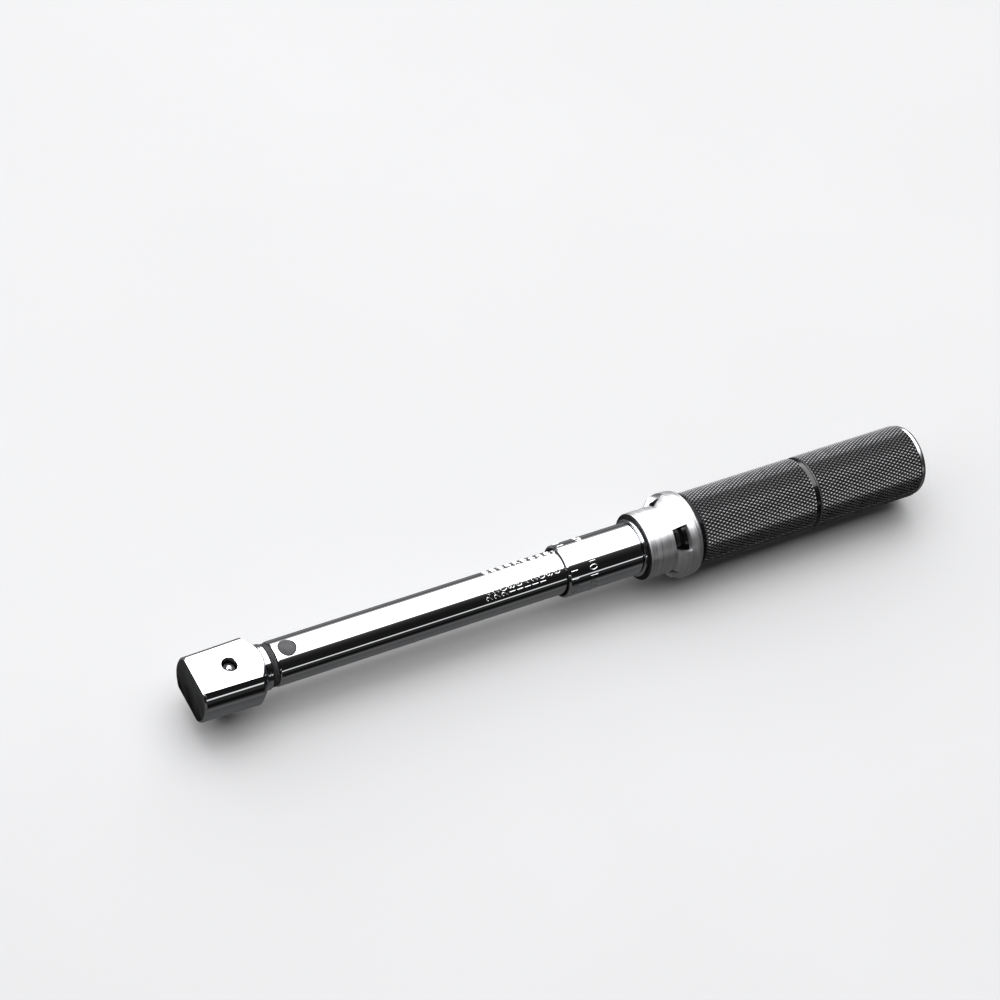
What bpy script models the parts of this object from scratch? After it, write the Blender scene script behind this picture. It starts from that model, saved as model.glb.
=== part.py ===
"""Micrometer click-type torque wrench, lying along X with its head at -X.

Every station below is in millimetres from the front face of the head, measured along the wrench,
and every radius is from the wrench's own axis. +Z is the flat of the head that carries the hole.
"""

import math

import bmesh
import bpy
from mathutils import Matrix, Vector

MM = 0.001
ROUND = 72
SMALL_ROUND = 36

LENGTH = 277.5
DRIVE_TIP = 15.4
GAP = 0.3

# Head
HEAD_FRONT_R = 10.7
HEAD_REAR_R = 11.1
HEAD_REAR_X = 20.3
FLAT_HEIGHT = 8.0
NOSE_CHAMFER = 0.6
NECK_R = 5.6
NECK_END_X = 39.0
LEVER_END_X = 70.0
LEVER_HALF_WIDTH = 2.8
LEVER_HALF_HEIGHT = 3.8
HOLE_X = 12.4
HOLE_R = 2.5
DRIVE_BORE_R = 4.9
DRIVE_BORE_TOP = 0.8

# Square drive
SQUARE = 6.35
SHANK_R = 4.6
SHANK_TOP = 0.5
RELEASE_BORE_R = 1.4
BALL_Z = -11.5

# Tube and pivot
TUBE_R = 7.5
TUBE_BORE_R = 6.2
TUBE_FRONT_X = 28.0
TUBE_REAR_X = 206.5
PIVOT_X = 32.6
PIVOT_R = 3.0

# Click mechanism and main spring
ROCKER_AXIS_X = 76.0
ROCKER_R = 2.5
ROCKER_FRONT_X = 70.5
ROCKER_HALF_HEIGHT = 3.5
SLIDER_R = 5.9
PLUNGER_FRONT_X = 76.9
PLUNGER_REAR_X = 92.0
SPRING_SPIGOT_R = 3.4
SPRING_MEAN_R = 4.8
SPRING_WIRE_R = 0.9
SEAT_FRONT_X = 170.3
SEAT_REAR_X = 178.0
THRUST_BALL_X = 178.6
THRUST_BALL_R = 2.0

# Adjuster
SCREW_FRONT_X = 179.2
SCREW_REAR_X = 268.0
SCREW_R = 4.0
NUT_FRONT_X = 190.0
NUT_REAR_X = 206.0
NUT_PIN_X = 198.0
SLEEVE_R = 9.0
SLEEVE_BORE_R = 7.8
SLEEVE_FRONT_X = 133.8
SLEEVE_REAR_X = 200.0
RING_FRONT_X = 162.7
RING_REAR_X = 163.8

# Lock collar
COLLAR_FRONT_X = 164.1
COLLAR_R = 11.6
FLARE_START_X = 173.8
FLARE_END_X = 177.2
RIM_R = 14.8
RIM_REAR_X = 183.0
WINDOW_HALF_ANGLE = 18.5
WINDOW_CENTRES = (33.0, 131.0, 213.0, 311.0)
WINDOW_STATIONS = (173.8, 178.0)
LOCK_BALL_X = 165.3
LOCK_BALL_R = 0.7

# Grip and cap
GRIP_R = 12.75
GRIP_BORE_R = 9.3
KNURL_START_X = 184.6
GROOVE_X = 231.25
GRIP_REAR_X = 274.7
CAP_FRONT_X = 275.0
CAP_R = 12.3


def clear_scene():
    """Empty the file, so that the part is the only thing in it."""
    for old in list(bpy.data.objects):
        bpy.data.objects.remove(old, do_unlink=True)


def place(x, y=0.0, z=0.0):
    """World point in metres of a station on the wrench, given in millimetres."""
    return Vector(((x - LENGTH / 2) * MM, y * MM, (z + DRIVE_TIP) * MM))


def finish(name, color, roughness, metallic):
    """A Principled material for one sub-part."""
    material = bpy.data.materials.new(name)
    material.use_nodes = True
    shader = material.node_tree.nodes["Principled BSDF"]
    shader.inputs["Base Color"].default_value = (*color, 1.0)
    shader.inputs["Roughness"].default_value = roughness
    shader.inputs["Metallic"].default_value = metallic
    return material


def add_object(name, mesh_data, origin, material, smooth=True):
    """Link one object whose origin sits at the given world point."""
    mesh = bpy.data.meshes.new(name)
    mesh_data.to_mesh(mesh)
    mesh_data.free()
    thing = bpy.data.objects.new(name, mesh)
    thing.location = origin
    bpy.context.scene.collection.objects.link(thing)
    if material is not None:
        mesh.materials.append(material)
    if smooth:
        for face in mesh.polygons:
            face.use_smooth = True
        mesh.set_sharp_from_angle(angle=math.radians(30))
    return thing


def spun(profile, origin_x, axis, segments):
    """Spin a closed outline of (distance along the axis, radius) pairs once around the axis."""
    shape = bmesh.new()
    side = Vector((0, 0, 1)) if axis == "X" else Vector((1, 0, 0))
    along = Vector((1, 0, 0)) if axis == "X" else Vector((0, 0, 1))
    corners = [shape.verts.new(((x - origin_x) * along + r * side) * MM) for x, r in profile]
    edges = [shape.edges.new((corners[i - 1], corners[i])) for i in range(len(corners))]
    bmesh.ops.spin(
        shape,
        geom=corners + edges,
        cent=(0, 0, 0),
        axis=along,
        angle=math.tau,
        steps=segments,
        use_duplicate=False,
    )
    bmesh.ops.remove_doubles(shape, verts=shape.verts, dist=1e-7)
    bmesh.ops.dissolve_degenerate(shape, edges=shape.edges, dist=1e-8)
    bmesh.ops.recalc_face_normals(shape, faces=shape.faces)
    return shape


def turned(name, profile, origin, material, segments=ROUND):
    """A turned piece on the wrench's axis. Its origin is on the axis at station `origin`."""
    return add_object(name, spun(profile, origin, "X", segments), place(origin), material)


def upright(name, profile, x, z, material, segments=SMALL_ROUND):
    """A turned piece on a vertical axis through station x. Its origin is at height z."""
    return add_object(name, spun(profile, z, "Z", segments), place(x, 0, z), material)


def block(size, centre):
    """A box of the given size in millimetres, centred on a local point."""
    shape = bmesh.new()
    bmesh.ops.create_cube(shape, size=1.0)
    bmesh.ops.scale(shape, vec=Vector(size) * MM, verts=shape.verts)
    bmesh.ops.translate(shape, vec=Vector(centre) * MM, verts=shape.verts)
    return shape


def wedge(stations, radii, centre, half_angle):
    """A sector between two stations and two radii. Its angles are in degrees, from +Y towards +Z."""
    shape = bmesh.new()
    rings = []
    for x in stations:
        ring = []
        for r, side in zip((radii[0], radii[0], radii[1], radii[1]), (-1, 1, 1, -1)):
            turn = math.radians(centre + side * half_angle)
            ring.append(shape.verts.new(Vector((x, r * math.cos(turn), r * math.sin(turn))) * MM))
        rings.append(ring)
        shape.faces.new(ring)
    for k in range(4):
        shape.faces.new((rings[0][k - 1], rings[0][k], rings[1][k], rings[1][k - 1]))
    bmesh.ops.recalc_face_normals(shape, faces=shape.faces)
    return shape


def ball(name, radius, centre, material):
    """A steel ball."""
    shape = bmesh.new()
    bmesh.ops.create_uvsphere(shape, u_segments=16, v_segments=12, radius=radius * MM)
    return add_object(name, shape, place(*centre), material)


def coil(name, stations, mean_r, wire_r, turns, axis, origin, material, sides=6, steps=16):
    """A round-wire helical spring between two stations along its axis."""
    shape = bmesh.new()
    start, end = stations
    count = turns * steps
    rings = []
    for i in range(count + 1):
        angle = math.tau * i / steps
        along = start + (end - start) * i / count
        ring = []
        for j in range(sides):
            tip = math.tau * j / sides
            radius = mean_r + wire_r * math.cos(tip)
            reach = along + wire_r * math.sin(tip)
            if axis == "X":
                point = (reach, radius * math.cos(angle), radius * math.sin(angle))
            else:
                point = (radius * math.cos(angle), radius * math.sin(angle), reach)
            ring.append(shape.verts.new(Vector(point) * MM))
        rings.append(ring)
    for first, second in zip(rings, rings[1:]):
        for j in range(sides):
            k = (j + 1) % sides
            shape.faces.new((first[j], first[k], second[k], second[j]))
    shape.faces.new(rings[0])
    shape.faces.new(rings[-1])
    bmesh.ops.recalc_face_normals(shape, faces=shape.faces)
    return add_object(name, shape, origin, material)


def cutter(name, shape, origin):
    """An unrendered tool object for a Boolean."""
    tool = add_object(name, shape, origin, None, smooth=False)
    tool.hide_render = True
    tool.display_type = "WIRE"
    return tool


def combine(target, tool, operation="DIFFERENCE"):
    """Add an exact Boolean with another object to the target."""
    boolean = target.modifiers.new(tool.name, "BOOLEAN")
    boolean.operation = operation
    boolean.solver = "EXACT"
    boolean.object = tool
    return boolean


def ride(child, parent):
    """Parent one object to another and keep its place."""
    child.parent = parent
    child.matrix_parent_inverse = Matrix.Translation(-parent_origin(parent))


def parent_origin(thing):
    """World location of an object that is only moved, never turned."""
    origin = thing.location.copy()
    if thing.parent:
        origin += parent_origin(thing.parent) + thing.matrix_parent_inverse.translation
    return origin


def pivot(name, origin):
    """An empty on a joint's axis."""
    handle = bpy.data.objects.new(name, None)
    handle.location = origin
    handle.empty_display_size = 0.01
    bpy.context.scene.collection.objects.link(handle)
    return handle


clear_scene()

CHROME = finish("polished_chrome", (0.78, 0.79, 0.81), 0.08, 1.0)
BRUSHED = finish("brushed_steel", (0.62, 0.62, 0.63), 0.32, 1.0)
PIN_STEEL = finish("pin_steel", (0.36, 0.36, 0.37), 0.42, 1.0)
TOOL_STEEL = finish("tool_steel", (0.45, 0.45, 0.46), 0.35, 1.0)
SPRING_STEEL = finish("spring_steel", (0.30, 0.30, 0.31), 0.4, 1.0)
BEARING = finish("bearing_steel", (0.70, 0.70, 0.71), 0.12, 1.0)
BRASS = finish("nut_brass", (0.72, 0.55, 0.27), 0.35, 1.0)
ANODISED = finish("black_anodised", (0.018, 0.018, 0.02), 0.38, 0.6)
SEAL = finish("seal_rubber", (0.05, 0.05, 0.055), 0.6, 0.0)

# ---------------------------------------------------------------- bodies' axes
head_axis = pivot("head_pivot_axis", place(PIVOT_X))
adjuster_axis = pivot("adjuster_axis", place(SEAT_FRONT_X))

# ---------------------------------------------------------------- head
head = turned(
    "head_body",
    [
        (0.0, 0.0),
        (0.0, HEAD_FRONT_R - NOSE_CHAMFER),
        (NOSE_CHAMFER, HEAD_FRONT_R),
        (HEAD_REAR_X, HEAD_REAR_R),
        (HEAD_REAR_X + 0.4, HEAD_REAR_R - 0.25),
        (23.8, 7.7),
        (24.3, 7.7),
        (24.3, 7.3),
        (24.6, 7.3),
        (24.6, 7.6),
        (25.4, 7.6),
        (25.4, NECK_R),
        (NECK_END_X, NECK_R),
        (NECK_END_X, 0.0),
    ],
    PIVOT_X,
    CHROME,
)
flat_tool = block((26.0, 30.0, 8.0), (HOLE_X - PIVOT_X, 0, FLAT_HEIGHT + 4.0))
lower_flat = block((26.0, 30.0, 8.0), (HOLE_X - PIVOT_X, 0, -FLAT_HEIGHT - 4.0))
combine(head, cutter("cut_upper_flat", flat_tool, place(PIVOT_X)))
combine(head, cutter("cut_lower_flat", lower_flat, place(PIVOT_X)))

# A small bevel along the front edge of both flats, level with the chamfer of the nose.
for sign in (1, -1):
    nose = block((2.0, 30.0, 2.0), (0, 0, 0))
    bmesh.ops.rotate(nose, verts=nose.verts, matrix=Matrix.Rotation(math.radians(45), 3, "Y"))
    reach = math.sqrt(2.0) - NOSE_CHAMFER / 2
    combine(head, cutter(f"cut_nose_{sign}", nose, place(-reach, 0, sign * (FLAT_HEIGHT + reach))))

lever_length = LEVER_END_X - NECK_END_X + 2.0
lever = block(
    (lever_length, 2 * LEVER_HALF_WIDTH, 2 * LEVER_HALF_HEIGHT),
    (LEVER_END_X - lever_length / 2 - PIVOT_X, 0, 0),
)
combine(head, cutter("add_lever", lever, place(PIVOT_X)), "UNION")
combine(
    head,
    cutter(
        "cut_pivot_hole",
        spun([(-9, 0), (9, 0), (9, PIVOT_R + GAP), (-9, PIVOT_R + GAP)], 0, "Z", SMALL_ROUND),
        place(PIVOT_X),
    ),
)
combine(
    head,
    cutter(
        "cut_drive_bore",
        spun(
            [
                (-10, 0),
                (9, 0),
                (9, HOLE_R + 1.35),
                (FLAT_HEIGHT - 0.35, HOLE_R),
                (DRIVE_BORE_TOP, HOLE_R),
                (DRIVE_BORE_TOP, DRIVE_BORE_R),
                (-10, DRIVE_BORE_R),
            ],
            0,
            "Z",
            SMALL_ROUND,
        ),
        place(HOLE_X),
    ),
)

drive = upright(
    "square_drive",
    [(SHANK_TOP, 0), (SHANK_TOP, SHANK_R), (-FLAT_HEIGHT, SHANK_R), (-FLAT_HEIGHT, 0)],
    HOLE_X,
    0.0,
    BRUSHED,
)
square = block((SQUARE, SQUARE, DRIVE_TIP - 5.0), (0, 0, -(DRIVE_TIP + 5.0) / 2))
bmesh.ops.bevel(
    square,
    geom=[e for e in square.edges if all(v.co.z < -0.0153 for v in e.verts)],
    offset=0.7 * MM,
    segments=1,
    affect="EDGES",
)
bmesh.ops.bevel(
    square,
    geom=[e for e in square.edges if abs(e.verts[0].co.z - e.verts[1].co.z) > 0.005],
    offset=0.45 * MM,
    segments=3,
    affect="EDGES",
)
combine(drive, cutter("add_square", square, place(HOLE_X)), "UNION")
combine(
    drive,
    cutter(
        "cut_release_bore",
        spun([(2, 0), (2, RELEASE_BORE_R), (-13.6, RELEASE_BORE_R), (-13.6, 0)], 0, "Z", 32),
        place(HOLE_X),
    ),
)
ball_hole = spun([(-5.5, 0), (0, 0), (0, 1.25), (-5.5, 1.25)], 0, "Z", 24)
bmesh.ops.rotate(ball_hole, verts=ball_hole.verts, matrix=Matrix.Rotation(math.radians(-90), 3, "X"))
combine(drive, cutter("cut_ball_hole", ball_hole, place(HOLE_X, 0, BALL_Z)))

release_pin = upright(
    "release_pin",
    [
        (5.6, 0),
        (5.6, 1.7),
        (5.2, 2.15),
        (4.0, 2.15),
        (4.0, 1.1),
        (-9.2, 1.1),
        (-9.5, 0.55),
        (-10.8, 0.55),
        (-11.1, 1.1),
        (-12.0, 1.1),
        (-12.3, 0.8),
        (-12.3, 0),
    ],
    HOLE_X,
    5.6,
    BEARING,
    32,
)
release_spring = coil(
    "release_spring", (1.1, 3.4), 1.75, 0.22, 4, "Z", place(HOLE_X), SPRING_STEEL
)
detent_ball = ball("detent_ball", 1.0, (HOLE_X, -2.45, BALL_Z), BEARING)

for piece in (head, drive, release_pin, release_spring, detent_ball):
    ride(piece, head_axis)

# ---------------------------------------------------------------- tube
tube = turned(
    "tube",
    [
        (TUBE_FRONT_X, TUBE_BORE_R),
        (TUBE_FRONT_X, TUBE_R - 0.35),
        (TUBE_FRONT_X + 0.35, TUBE_R),
        (TUBE_REAR_X, TUBE_R),
        (TUBE_REAR_X, TUBE_BORE_R),
    ],
    TUBE_FRONT_X,
    CHROME,
)
PIN_FIT = 0.12
combine(
    tube,
    cutter(
        "cut_pin_holes",
        spun([(-9, 0), (9, 0), (9, PIVOT_R + PIN_FIT), (-9, PIVOT_R + PIN_FIT)], 0, "Z", SMALL_ROUND),
        place(PIVOT_X),
    ),
)
combine(
    tube,
    cutter(
        "cut_nut_pin_holes",
        spun([(-9, 0), (9, 0), (9, 1.0 + GAP), (-9, 1.0 + GAP)], 0, "Z", 32),
        place(NUT_PIN_X),
    ),
)
turned(
    "neck_seal",
    [(25.9, 6.1), (25.9, 7.0), (26.1, 7.2), (27.5, 7.2), (27.7, 7.0), (27.7, 6.1)],
    25.9,
    SEAL,
)
upright(
    "pivot_pin",
    [
        (7.2, 0),
        (7.2, PIVOT_R - 0.15),
        (7.05, PIVOT_R),
        (-7.05, PIVOT_R),
        (-7.2, PIVOT_R - 0.15),
        (-7.2, 0),
    ],
    PIVOT_X,
    0.0,
    PIN_STEEL,
)
nut = turned(
    "fixed_nut",
    [
        (NUT_FRONT_X, SCREW_R + GAP),
        (NUT_FRONT_X, SLIDER_R),
        (NUT_REAR_X, SLIDER_R),
        (NUT_REAR_X, SCREW_R + GAP),
    ],
    NUT_FRONT_X,
    BRASS,
    SMALL_ROUND,
)
for letter, sign in (("a", 1), ("b", -1)):
    combine(
        nut,
        cutter(
            f"cut_nut_pocket_{letter}",
            spun([(5.0, 0), (9.0, 0), (9.0, 1.3), (5.0, 1.3)], 0, "Z", 32)
            if sign > 0
            else spun([(-9.0, 0), (-5.0, 0), (-5.0, 1.3), (-9.0, 1.3)], 0, "Z", 32),
            place(NUT_PIN_X),
        ),
    )
    upright(
        f"nut_pin_{letter}",
        [(5.3 * sign, 0), (7.3 * sign, 0), (7.3 * sign, 1.0), (5.3 * sign, 1.0)],
        NUT_PIN_X,
        0.0,
        TOOL_STEEL,
        32,
    )

# ---------------------------------------------------------------- click mechanism
plunger_axis = pivot("plunger_axis", place(PLUNGER_FRONT_X))
rocker_outline = [(ROCKER_FRONT_X - ROCKER_AXIS_X, -ROCKER_R)]
for step in range(17):
    turn = math.pi * (step / 16 - 0.5)
    rocker_outline.append((ROCKER_R * math.cos(turn), ROCKER_R * math.sin(turn)))
rocker_outline.append((ROCKER_FRONT_X - ROCKER_AXIS_X, ROCKER_R))
rocker_shape = bmesh.new()
outline_face = rocker_shape.faces.new(
    [rocker_shape.verts.new((x * MM, y * MM, -ROCKER_HALF_HEIGHT * MM)) for x, y in rocker_outline]
)
raised = bmesh.ops.extrude_face_region(rocker_shape, geom=[outline_face])
bmesh.ops.translate(
    rocker_shape,
    vec=(0, 0, 2 * ROCKER_HALF_HEIGHT * MM),
    verts=[v for v in raised["geom"] if isinstance(v, bmesh.types.BMVert)],
)
bmesh.ops.recalc_face_normals(rocker_shape, faces=rocker_shape.faces)
rocker = add_object("cam_block", rocker_shape, place(ROCKER_AXIS_X), TOOL_STEEL)

plunger = turned(
    "plunger",
    [
        (PLUNGER_FRONT_X, 0),
        (PLUNGER_FRONT_X, SLIDER_R - 0.4),
        (PLUNGER_FRONT_X + 0.4, SLIDER_R),
        (PLUNGER_REAR_X, SLIDER_R),
        (PLUNGER_REAR_X, SPRING_SPIGOT_R),
        (PLUNGER_REAR_X + 4.6, SPRING_SPIGOT_R),
        (PLUNGER_REAR_X + 5.0, SPRING_SPIGOT_R - 0.4),
        (PLUNGER_REAR_X + 5.0, 0),
    ],
    PLUNGER_FRONT_X,
    TOOL_STEEL,
    SMALL_ROUND,
)
rocker_bed = spun([(-8, 0), (8, 0), (8, ROCKER_R + GAP), (-8, ROCKER_R + GAP)], 0, "Z", SMALL_ROUND)
combine(plunger, cutter("cut_rocker_bed", rocker_bed, place(ROCKER_AXIS_X)))
ride(plunger, plunger_axis)
ride(rocker, plunger_axis)

coil(
    "main_spring",
    (PLUNGER_REAR_X + GAP + SPRING_WIRE_R, SEAT_FRONT_X - GAP - SPRING_WIRE_R),
    SPRING_MEAN_R,
    SPRING_WIRE_R,
    18,
    "X",
    place(0),
    SPRING_STEEL,
)

spring_seat = turned(
    "spring_seat",
    [
        (SEAT_FRONT_X - 5.0, 0),
        (SEAT_FRONT_X - 5.0, SPRING_SPIGOT_R - 0.4),
        (SEAT_FRONT_X - 4.6, SPRING_SPIGOT_R),
        (SEAT_FRONT_X, SPRING_SPIGOT_R),
        (SEAT_FRONT_X, SLIDER_R),
        (SEAT_REAR_X, SLIDER_R),
        (SEAT_REAR_X, THRUST_BALL_R + GAP),
        (THRUST_BALL_X - THRUST_BALL_R - GAP, THRUST_BALL_R + GAP),
        (THRUST_BALL_X - THRUST_BALL_R - GAP, 0),
    ],
    SEAT_FRONT_X,
    TOOL_STEEL,
    SMALL_ROUND,
)
thrust_ball = ball("thrust_ball", THRUST_BALL_R, (THRUST_BALL_X,), BEARING)
ride(spring_seat, adjuster_axis)
ride(thrust_ball, adjuster_axis)

# ---------------------------------------------------------------- adjuster, turning with the grip
screw = turned(
    "adjusting_screw",
    [
        (THRUST_BALL_X + THRUST_BALL_R + GAP, 0),
        (THRUST_BALL_X + THRUST_BALL_R + GAP, THRUST_BALL_R + GAP),
        (SCREW_FRONT_X, THRUST_BALL_R + GAP),
        (SCREW_FRONT_X, SCREW_R - 0.4),
        (SCREW_FRONT_X + 0.4, SCREW_R),
        (SCREW_REAR_X, SCREW_R),
        (SCREW_REAR_X, 2.2),
        (256.0, 2.2),
        (256.0, 0),
    ],
    SCREW_FRONT_X,
    TOOL_STEEL,
    SMALL_ROUND,
)
sleeve = turned(
    "scale_sleeve",
    [
        (SLEEVE_FRONT_X, SLEEVE_BORE_R),
        (SLEEVE_FRONT_X, SLEEVE_R - 0.55),
        (SLEEVE_FRONT_X + 0.35, SLEEVE_R),
        (162.2, SLEEVE_R),
        (162.4, SLEEVE_R - 0.4),
        (164.1, SLEEVE_R - 0.4),
        (164.3, SLEEVE_R),
        (SLEEVE_REAR_X, SLEEVE_R),
        (SLEEVE_REAR_X, SLEEVE_BORE_R),
    ],
    SLEEVE_FRONT_X,
    CHROME,
)
combine(
    sleeve,
    cutter(
        "cut_lock_ball_holes",
        spun([(-10, 0), (10, 0), (10, 0.95), (-10, 0.95)], 0, "Z", 24),
        place(LOCK_BALL_X),
    ),
)
stop_ring = turned(
    "stop_ring",
    [
        (RING_FRONT_X, SLEEVE_R - 0.1),
        (RING_FRONT_X, 9.7),
        (RING_FRONT_X + 0.2, 9.9),
        (RING_REAR_X - 0.2, 9.9),
        (RING_REAR_X, 9.7),
        (RING_REAR_X, SLEEVE_R - 0.1),
    ],
    RING_FRONT_X,
    CHROME,
)
lock_ball_a = ball("lock_ball_a", LOCK_BALL_R, (LOCK_BALL_X, 0, 8.55), BEARING)
lock_ball_b = ball("lock_ball_b", LOCK_BALL_R, (LOCK_BALL_X, 0, -8.55), BEARING)

grip = turned(
    "grip",
    [
        (173.4, GRIP_BORE_R),
        (173.4, 10.0),
        (173.6, 10.2),
        (178.0, 10.2),
        (180.5, 12.6),
        (KNURL_START_X, 12.6),
        (KNURL_START_X + 0.3, GRIP_R),
        (GROOVE_X - 1.0, GRIP_R),
        (GROOVE_X - 0.75, GRIP_R - 0.6),
        (GROOVE_X + 0.75, GRIP_R - 0.6),
        (GROOVE_X + 1.0, GRIP_R),
        (GRIP_REAR_X - 0.4, GRIP_R),
        (GRIP_REAR_X, GRIP_R - 0.4),
        (GRIP_REAR_X, GRIP_BORE_R),
    ],
    KNURL_START_X,
    ANODISED,
)
end_cap = turned(
    "end_cap",
    [
        (262.5, SCREW_R + GAP),
        (262.5, 8.6),
        (262.9, 9.0),
        (CAP_FRONT_X, 9.0),
        (CAP_FRONT_X, CAP_R),
        (CAP_FRONT_X + 0.9, CAP_R),
        (CAP_FRONT_X + 1.5, CAP_R - 0.2),
        (CAP_FRONT_X + 2.1, CAP_R - 0.75),
        (LENGTH, CAP_R - 1.7),
        (LENGTH, 3.9),
        (276.4, 3.9),
        (274.4, 2.2),
        (SCREW_REAR_X + GAP, 2.2),
        (SCREW_REAR_X + GAP, SCREW_R + GAP),
    ],
    CAP_FRONT_X,
    CHROME,
)
cap_screw = turned(
    "cap_screw",
    [
        (258.0, 0),
        (258.0, 1.6),
        (258.3, 1.9),
        (274.5, 1.9),
        (276.5, 3.6),
        (277.0, 3.6),
        (277.0, 0),
    ],
    277.0,
    TOOL_STEEL,
    SMALL_ROUND,
)
hexagon = spun([(-2.0, 0), (1.0, 0), (1.0, 1.75), (-2.0, 1.75)], 0, "X", 6)
combine(cap_screw, cutter("cut_hex_socket", hexagon, place(277.0)))
for piece in (screw, sleeve, stop_ring, lock_ball_a, lock_ball_b, grip, end_cap, cap_screw):
    ride(piece, adjuster_axis)

# ---------------------------------------------------------------- lock collar
collar = turned(
    "lock_collar",
    [
        (COLLAR_FRONT_X, 9.4),
        (COLLAR_FRONT_X, COLLAR_R - 0.4),
        (COLLAR_FRONT_X + 0.4, COLLAR_R),
        (FLARE_START_X, COLLAR_R),
        (FLARE_END_X, RIM_R),
        (180.6, RIM_R),
        (182.4, RIM_R - 0.35),
        (RIM_REAR_X, RIM_R - 0.9),
        (RIM_REAR_X, 12.95),
        (177.0, 12.95),
        (174.6, 10.6),
        (166.5, 10.6),
        (166.5, 9.4),
    ],
    COLLAR_FRONT_X,
    BRUSHED,
)
for index, angle in enumerate(WINDOW_CENTRES):
    window = wedge(WINDOW_STATIONS, (9.8, 17.0), angle, WINDOW_HALF_ANGLE)
    combine(collar, cutter(f"cut_window_{index}", window, place(0)))
lock_spring = coil("lock_spring", (167.2, 172.7), 9.9, 0.3, 4, "X", place(0), SPRING_STEEL, 6, 24)
ride(collar, adjuster_axis)
ride(lock_spring, adjuster_axis)
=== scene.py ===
"""The look of the torque wrench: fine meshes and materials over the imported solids.

Stations along the wrench are in millimetres from the front face of the head, and radii and heights
are in millimetres from the wrench's own axis. Angles round the axis start at +Y and turn towards +Z.
"""

import math

import bmesh
import bpy
import numpy as np
from mathutils import Matrix, Quaternion, Vector


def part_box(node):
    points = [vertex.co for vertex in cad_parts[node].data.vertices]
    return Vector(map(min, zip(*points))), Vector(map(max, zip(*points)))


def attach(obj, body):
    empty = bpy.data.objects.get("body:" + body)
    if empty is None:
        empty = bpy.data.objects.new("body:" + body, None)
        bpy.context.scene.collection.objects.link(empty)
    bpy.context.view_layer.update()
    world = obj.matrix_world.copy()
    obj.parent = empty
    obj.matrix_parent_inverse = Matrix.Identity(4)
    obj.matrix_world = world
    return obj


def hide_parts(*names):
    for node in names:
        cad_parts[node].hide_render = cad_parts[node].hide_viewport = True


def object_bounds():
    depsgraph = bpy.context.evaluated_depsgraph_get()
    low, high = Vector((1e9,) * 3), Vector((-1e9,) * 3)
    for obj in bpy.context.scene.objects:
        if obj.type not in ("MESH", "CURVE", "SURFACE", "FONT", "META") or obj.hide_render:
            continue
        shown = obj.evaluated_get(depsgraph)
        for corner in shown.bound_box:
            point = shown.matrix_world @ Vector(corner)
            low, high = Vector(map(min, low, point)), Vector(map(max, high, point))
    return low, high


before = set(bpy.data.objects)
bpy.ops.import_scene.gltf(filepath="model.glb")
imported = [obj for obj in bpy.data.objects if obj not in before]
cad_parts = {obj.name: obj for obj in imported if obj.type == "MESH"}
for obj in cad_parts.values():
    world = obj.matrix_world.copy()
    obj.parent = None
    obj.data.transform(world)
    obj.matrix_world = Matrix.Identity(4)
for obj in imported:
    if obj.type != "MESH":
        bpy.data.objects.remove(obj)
CAD_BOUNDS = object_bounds()
scene = bpy.context.scene

MM = 0.001
HEAD_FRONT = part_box("head_body")[0].x
AXIS_Z = (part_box("tube")[0].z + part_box("tube")[1].z) / 2
ORIGIN = Vector((HEAD_FRONT, 0.0, AXIS_Z))

# Segments round the axis, for small, usual and long pieces
SMALL_SEGMENTS = 96
SEGMENTS = 192
FINE_SEGMENTS = 256

# Stations and radii that more than one piece or material uses, in millimetres
FLAT_HEIGHT = 8.0
HOLE_X = 12.4
HOLE_R = 2.5
HOLE_BEVEL = 0.22
PIVOT_X = 32.6
TUBE_R = 7.5
SLEEVE_R = 9.0
SLEEVE_FRONT_X = 133.8
COLLAR_FRONT_X = 164.1
GRIP_R = 12.75
KNURL_FRONT = 185.4
KNURL_REAR = 274.3
KNURL_DEPTH = 0.44
GROOVE_X = 231.25


# ---------------------------------------------------------------- node graphs


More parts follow.
